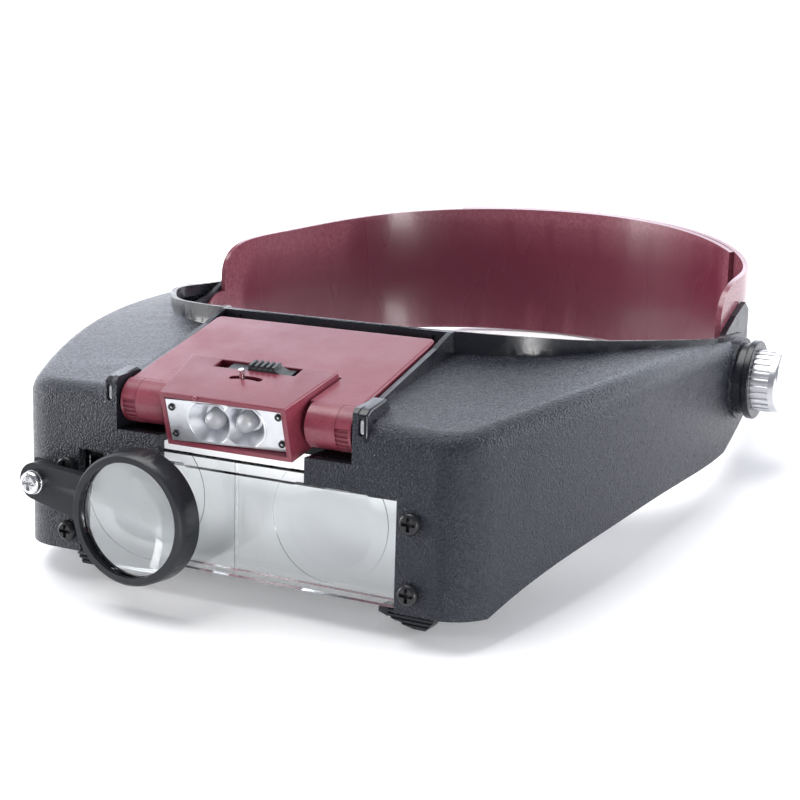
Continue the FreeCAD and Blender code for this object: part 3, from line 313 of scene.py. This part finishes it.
LOOKS = {
    "visor_shell": GRAIN, "lens_screws": SCREW_BLACK, "flip_lens": ACRYLIC, "flip_pins": STEEL,
    "loupe_bracket": SATIN, "loupe_ring": SATIN, "loupe_lens": GLASS, "loupe_retainer": SMOOTH,
    "loupe_screw": STEEL, "loupe_washer": STEEL, "lamp_pivot_pins": STEEL, "lamp_housing": RED,
    "lamp_hood": RED, "battery_cover": RED, "cover_pins": STEEL, "switch_body": SATIN,
    "switch_slider": SLIDER, "reflector": MIRROR, "led_board": BOARD, "aim_carrier": SATIN,
    "aim_lever": STEEL, "contact_plates": STEEL, "battery_front": CELL, "battery_rear": CELL,
    "strap_left": STRAP, "strap_right": STRAP, "forehead_bow": SMOOTH, "strap_studs": STUD_RED,
}
for side in ("left", "right"):
    LOOKS.update({
        "front_lens_" + side: ACRYLIC, "lens_strip_" + side: SATIN, "flip_bracket_" + side: SATIN,
        "flip_frame_" + side: SATIN, "hub_disc_" + side: SMOOTH, "barrel_collar_" + side: RED,
        "led_" + side: EPOXY, "pivot_stud_" + side: STEEL, "pivot_washer_" + side: SATIN,
        "knob_washer_" + side: SMOOTH, "clamp_knob_" + side: PLATED,
    })


# ------------------------------------------------------------ meshes
def add_piece(name, mesh, material, body):
    """A new object on a CAD body."""
    piece = bpy.data.objects.new(name, mesh)
    scene.collection.objects.link(piece)
    mesh.materials.clear()
    mesh.materials.append(material)
    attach(piece, body)
    return piece


def welded(node, dissolve=True):
    """A copy of a CAD node's mesh with shared corners joined and flat faces merged."""
    bm = bmesh.new()
    bm.from_mesh(NODES[node].data)
    bmesh.ops.remove_doubles(bm, verts=bm.verts, dist=1e-6)
    if dissolve:
        bmesh.ops.dissolve_limit(bm, angle_limit=math.radians(0.6), verts=bm.verts, edges=bm.edges)
    mesh = bpy.data.meshes.new(node + "_fine")
    bm.to_mesh(mesh)
    bm.free()
    return mesh


def smooth_by_angle(mesh, degrees=32):
    mesh.shade_smooth()
    mesh.set_sharp_from_angle(angle=math.radians(degrees))


def refine(node, width):
    """Stand in for a CAD node with the same shape, its sharp edges broken by a small round."""
    mesh = welded(node)
    piece = add_piece(node + "_fine", mesh, LOOKS[node], BODY[node])
    smooth_by_angle(mesh)
    bevel = piece.modifiers.new("edge", "BEVEL")
    bevel.width = width
    bevel.segments = 2
    bevel.limit_method = "ANGLE"
    bevel.angle_limit = math.radians(40)
    bevel.harden_normals = True
    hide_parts(node)
    return piece


def lathe(name, profile, origin, axis, material, body, steps=48):
    """A turned piece: profile points are (distance along axis, radius)."""
    turn = axis.normalized().to_track_quat("Z", "Y").to_matrix()
    bm = bmesh.new()
    rings = []
    for along, radius in profile:
        ring = []
        for i in range(steps):
            a = 2 * math.pi * i / steps
            spot = Vector((radius * math.cos(a), radius * math.sin(a), along))
            ring.append(bm.verts.new(origin + turn @ spot))
        rings.append(ring)
    for lower, upper in zip(rings, rings[1:]):
        for i in range(steps):
            j = (i + 1) % steps
            bm.faces.new((lower[i], lower[j], upper[j], upper[i]))
    bm.faces.new(list(reversed(rings[0])))
    bm.faces.new(rings[-1])
    mesh = bpy.data.meshes.new(name)
    bm.to_mesh(mesh)
    bm.free()
    smooth_by_angle(mesh, 40)
    return add_piece(name, mesh, material, body)


for node, look in LOOKS.items():
    mesh = NODES[node].data
    mesh.materials.clear()
    mesh.materials.append(look)
    smooth_by_angle(mesh, 30)

EDGE_ROUNDS = (
    ("barrel_collar_left", 0.0002), ("barrel_collar_right", 0.0002), ("lamp_hood", 0.00035),
    ("battery_cover", 0.0003), ("lamp_housing", 0.0003), ("switch_slider", 0.00018),
    ("loupe_ring", 0.00035), ("loupe_bracket", 0.0003), ("flip_frame_left", 0.0003),
    ("flip_frame_right", 0.0003), ("flip_bracket_left", 0.0003), ("flip_bracket_right", 0.0003),
)
for node, width in EDGE_ROUNDS:
    refine(node, width)


def refine_shell():
    """The visor with softened edges, grained outside and smooth on the rim and round the lamp."""
    mesh = refine("visor_shell", 0.0004).data
    mesh.materials.append(SMOOTH)
    tree = BVHTree.FromPolygons([v.co for v in mesh.vertices], [f.vertices for f in mesh.polygons])
    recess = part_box("battery_cover")[1].x + 0.0052
    front = worn(LAMP_O).y - 0.0062
    lift, across = 1e-4, 0.07
    for face in mesh.polygons:
        middle = worn(face.center)
        facing = UPRIGHT @ face.normal
        hidden = tree.ray_cast(face.center + face.normal * lift, face.normal, across)[0] is not None
        reach = max(abs(worn(mesh.vertices[i].co).x) for i in face.vertices)
        roof = facing.z > 0.7 and reach > recess + 0.0005
        rim_top = abs(facing.x) < 0.012 and facing.z > 0.9 and middle.y > front + 0.046
        rim_side = abs(facing.z) < 0.35 and middle.z > 0.0082 and middle.y > front + 0.048
        lamp_side = abs(middle.x) < recess and middle.z > -0.0105 and middle.y > front - 0.001
        is_smooth = rim_top or rim_side or (not roof and (hidden or lamp_side))
        face.material_index = 1 if is_smooth else 0


refine_shell()


# ------------------------------------------------------------ forehead pad
PAD_HEIGHT = 0.93            # height of the foam before it is blown up, as a share of the node's
PAD_VOXEL = 0.0022
PAD_SWELL = 0.0011           # furthest that the cloth may move out
CHANNEL_DEPTH = 0.0011
CHANNEL_RATE = 27.0          # channels in a full turn about the middle of the head space
CHANNEL_SHARPNESS = 14


def blow_up(pad):
    """Cloth simulation with pressure and no gravity, applied to the mesh."""
    sim = pad.modifiers.new("cloth", "CLOTH")
    sim.settings.use_pressure = True
    sim.settings.uniform_pressure_force = 4.0
    sim.settings.effector_weights.gravity = 0.0
    for f in range(1, 21):
        scene.frame_set(f)
    bpy.ops.object.modifier_apply(modifier="cloth")
    scene.frame_set(1)


def forehead_pad():
    """Foam pad in knit cloth, blown up by a cloth simulation, then sewn into channels."""
    mesh = welded("forehead_pad", False)
    middle = sum((v.co for v in mesh.vertices), Vector()) / len(mesh.vertices)
    for v in mesh.vertices:
        v.co.z = middle.z + (v.co.z - middle.z) * PAD_HEIGHT
    pad = add_piece("pad_cloth_over_foam", mesh, CLOTH, BODY["forehead_pad"])
    bpy.context.view_layer.objects.active = pad
    pad.select_set(True)
    remesh = pad.modifiers.new("remesh", "REMESH")
    remesh.mode = "VOXEL"
    remesh.voxel_size = PAD_VOXEL
    bpy.ops.object.modifier_apply(modifier="remesh")
    rest = [v.co.copy() for v in pad.data.vertices]
    blow_up(pad)
    hub = Vector((0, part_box("forehead_bow")[1].y, 0))
    for v, home in zip(pad.data.vertices, rest):
        move = v.co - home
        if move.length > PAD_SWELL:
            move = move.normalized() * PAD_SWELL
        v.co = home + move
        around = math.atan2(v.co.x, hub.y - v.co.y)
        channel = max(0.0, math.cos(around * CHANNEL_RATE)) ** CHANNEL_SHARPNESS
        to_bow = (v.co - hub).normalized()
        to_bow.z = 0
        v.co += to_bow * channel * CHANNEL_DEPTH
    smooth_by_angle(pad.data, 60)
    pad.modifiers.new("smooth", "SUBSURF").levels = 1
    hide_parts("forehead_pad")
    pad.select_set(False)


forehead_pad()


# ------------------------------------------------------------ small parts
def wire(name, points, radius, material, body):
    """A round wire through a list of points."""
    curve = bpy.data.curves.new(name, "CURVE")
    curve.dimensions = "3D"
    curve.bevel_depth = radius
    curve.bevel_resolution = 3
    line = curve.splines.new("POLY")
    line.points.add(len(points) - 1)
    for spot, point in zip(line.points, points):
        spot.co = (*point, 1)
    piece = bpy.data.objects.new(name, curve)
    scene.collection.objects.link(piece)
    curve.materials.append(material)
    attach(piece, body)
    return piece


COIL_TURNS = 4
COIL_STEPS = 22              # points in one turn
COIL_LENGTH = 0.0028
COIL_INSET = 0.00015
COIL_RADII = (0.0032, 0.0023)
COIL_WIRE = 0.00022


def contact_coils():
    """Wound wire springs against the flat ends of the cells."""
    low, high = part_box("contact_springs")
    wide, narrow = COIL_RADII
    count = COIL_TURNS * COIL_STEPS
    ends = (("spring_front", "battery_front", low.x, 1), ("spring_rear", "battery_rear", high.x, -1))
    for name, cell, end, sign in ends:
        centre = sum(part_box(cell), Vector()) / 2
        points = []
        for i in range(count + 1):
            t = i / count
            a = 2 * math.pi * i / COIL_STEPS
            r = wide + (narrow - wide) * t
            points.append(Vector((end + sign * (COIL_INSET + t * COIL_LENGTH),
                                  centre.y + r * math.cos(a), centre.z + r * math.sin(a))))
        coil = wire(name, points, COIL_WIRE, STEEL, "lamp")
        if name == "spring_front":
            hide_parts("contact_springs")


contact_coils()


DIE_BACK = 0.0008            # from the middle of a lamp back to its die cup
DIE_CUP = ((0, 0.0003), (0.0009, 0.0003), (0.001, 0.0009), (0.0018, 0.00125),
           (0.0018, 0.0011), (0.0014, 0.0006))
DIE_CHIP = ((0.0014, 0.0005), (0.0017, 0.0005), (0.00175, 0.0003))


def lamp_dies():
    """Bright cup and pale chip inside each clear lamp."""
    glow = metal("die_cup", (0.86, 0.86, 0.84), 0.18)
    chip = Shader("die_phosphor", (0.55, 0.53, 0.40), 0.6)
    chip.bump(chip.noise(3000, 2), 0.00005, 0.6)
    chip.vary_roughness(chip.noise(900, 2), 0.5, 0.7)
    axis = -LAMP_S
    for side in ("left", "right"):
        base = sum(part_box("led_" + side), Vector()) / 2 - axis * DIE_BACK
        lathe("die_cup_" + side, DIE_CUP, base, axis, glow, "aimed_lamps", 24)
        lathe("die_chip_" + side, DIE_CHIP, base, axis, chip.mat, "aimed_lamps", 16)


lamp_dies()


# the reflector's front in its own frame, mm
CUP_X = 4.6
CUP_H = 0.7
CUP_RIM_R = 5.75
CUP_RIM_S = -7.72
CUP_RIM_HEIGHTS = (-4.5, 5.55)    # the plate cuts the rims off below and above
CUP_RIM_GAP = 0.05           # the rims stop this far from the middle
CUP_RIM_WIRE = 0.00023
PIP_X = 14.4
PIP_S = -7.7
PIP_HEIGHTS = (-3.0, 4.0)
PIP = ((0, 0.0009), (0.00035, 0.0009), (0.00055, 0.00065), (0.00055, 0.00035), (0.0003, 0.00025))


def reflector_trim():
    """Raised rims of the two cups, cut off where they meet, and four screw pips."""
    lowest, highest = CUP_RIM_HEIGHTS
    steps = 120
    for side in (-1, 1):
        points = []
        for i in range(steps):
            a = 2 * math.pi * i / steps + (math.pi if side > 0 else 0)
            x = side * CUP_X + CUP_RIM_R * math.cos(a)
            h = min(highest, max(lowest, CUP_H + CUP_RIM_R * math.sin(a)))
            if x * side > CUP_RIM_GAP:
                points.append(aimed_point(x, CUP_RIM_S, h))
        wire("cup_rim", points, CUP_RIM_WIRE, MIRROR, "aimed_lamps")
        for h in PIP_HEIGHTS:
            lathe("pip", PIP, aimed_point(side * PIP_X, PIP_S, h), -AIM_FRONT, SCREW_BLACK,
                  "aimed_lamps", 24)


reflector_trim()


def hood_nib():
    """Small moulded nib under the hood's front edge."""
    profile = ((0, 0.0002), (0.00035, 0.00055), (0.0009, 0.0006), (0.0013, 0.0003))
    lathe("hood_nib", profile, lamp_point(-7.2, -8.1, 7.1), -LAMP_S, RED, "lamp", 20)


hood_nib()


# ------------------------------------------------------------ studio
def soft_box(name, place, width, height, power):
    """A rectangular light aimed at the visor."""
    light = bpy.data.lights.new(name, "AREA")
    light.shape = "RECTANGLE"
    light.size = width
    light.size_y = height
    light.energy = power
    lamp = bpy.data.objects.new(name, light)
    lamp.location = place
    lamp.rotation_euler = (-Vector(place)).to_track_quat("-Z", "Y").to_euler()
    lamp.visible_camera = False
    scene.collection.objects.link(lamp)


def smooth_step(tree, value, start, end):
    """A smooth ramp from 0 at the start to 1 at the end."""
    ramp = tree.nodes.new("ShaderNodeMapRange")
    ramp.interpolation_type = "SMOOTHSTEP"
    ramp.inputs["From Min"].default_value = start
    ramp.inputs["From Max"].default_value = end
    tree.links.new(value, ramp.inputs["Value"])
    return ramp.outputs["Result"]


def lay_floor():
    """Pale floor, darker in front, where the visor's front wall mirrors it."""
    bpy.ops.mesh.primitive_plane_add(size=6, location=(0, 0, -0.0002))
    floor = bpy.context.object
    floor.name = "floor"
    pale = Shader("floor_pale", (0.95, 0.95, 0.95), 0.6, Emission_Strength=0.12,
                  Emission_Color=(1.0, 1.0, 1.0, 1.0))
    pale.vary_roughness(pale.noise(5, 2), 0.55, 0.65)
    pale.tint(pale.ranged(pale.noise(3, 2), 0.4, 0.7, 0.0, 0.3), (0.935, 0.935, 0.94))
    apart = pale.node("SeparateXYZ")
    pale.link(pale.coord, apart.inputs[0])
    pale.tint(smooth_step(pale.tree, apart.outputs["Y"], -0.30, -0.55), (0.30, 0.30, 0.32))
    floor.data.materials.append(pale.mat)


def hang_backdrop():
    """Grey surroundings with a bright backdrop low behind the visor."""
    world = bpy.data.worlds.new("studio")
    world.use_nodes = True
    tree = world.node_tree
    back = tree.nodes["Background"]
    back.inputs["Strength"].default_value = 1.0
    split = tree.nodes.new("ShaderNodeSeparateXYZ")
    tree.links.new(tree.nodes.new("ShaderNodeTexCoord").outputs["Generated"], split.inputs[0])
    both = tree.nodes.new("ShaderNodeMath")
    both.operation = "MULTIPLY"
    tree.links.new(smooth_step(tree, split.outputs["Y"], 0.0, 0.45), both.inputs[0])
    tree.links.new(smooth_step(tree, split.outputs["Z"], 0.62, 0.40), both.inputs[1])
    mix = tree.nodes.new("ShaderNodeMixRGB")
    mix.inputs["Color1"].default_value = (0.22, 0.23, 0.26, 1.0)
    mix.inputs["Color2"].default_value = (2.5, 2.6, 2.9, 1.0)
    tree.links.new(both.outputs[0], mix.inputs["Fac"])
    tree.links.new(mix.outputs["Color"], back.inputs["Color"])
    scene.world = world


def studio():
    """Floor, backdrop, and soft boxes above and at both sides."""
    lay_floor()
    hang_backdrop()
    soft_box("top", (-0.25, 0.14, 1.1), 1.1, 0.8, 17.0)
    soft_box("left", (-1.1, -0.42, 0.26), 0.5, 0.45, 9.0)
    soft_box("right", (0.44, -0.44, 0.07), 0.12, 0.14, 1.4)
    soft_box("right_back", (1.15, 0.75, 0.30), 0.9, 0.6, 9.0)


EYE = Vector((0.2056, -0.38358, 0.19094))
YAW, PITCH, ROLL = (math.radians(a) for a in (27.17, 11.29, 1.65))
LENS_MM = 72
SENSOR_MM = 36


def camera():
    """Long lens, in front and to the right, looking slightly down; angles as the visor is worn."""
    tilt = Matrix.Rotation(-LEAN, 3, "X")
    forward = Vector((-math.sin(YAW) * math.cos(PITCH), math.cos(YAW) * math.cos(PITCH),
                      -math.sin(PITCH)))
    right = Vector((math.cos(YAW), math.sin(YAW), 0))
    side = right * math.cos(ROLL) + right.cross(forward) * math.sin(ROLL)
    up = side.cross(forward)
    data = bpy.data.cameras.new("camera")
    data.lens = LENS_MM
    data.sensor_width = SENSOR_MM
    cam = bpy.data.objects.new("camera", data)
    rows = Matrix((tilt @ side, tilt @ up, tilt @ -forward)).transposed().to_4x4()
    rows.translation = EYE
    cam.matrix_world = rows
    scene.collection.objects.link(cam)
    scene.camera = cam


studio()
camera()
scene.view_settings.view_transform = "Standard"
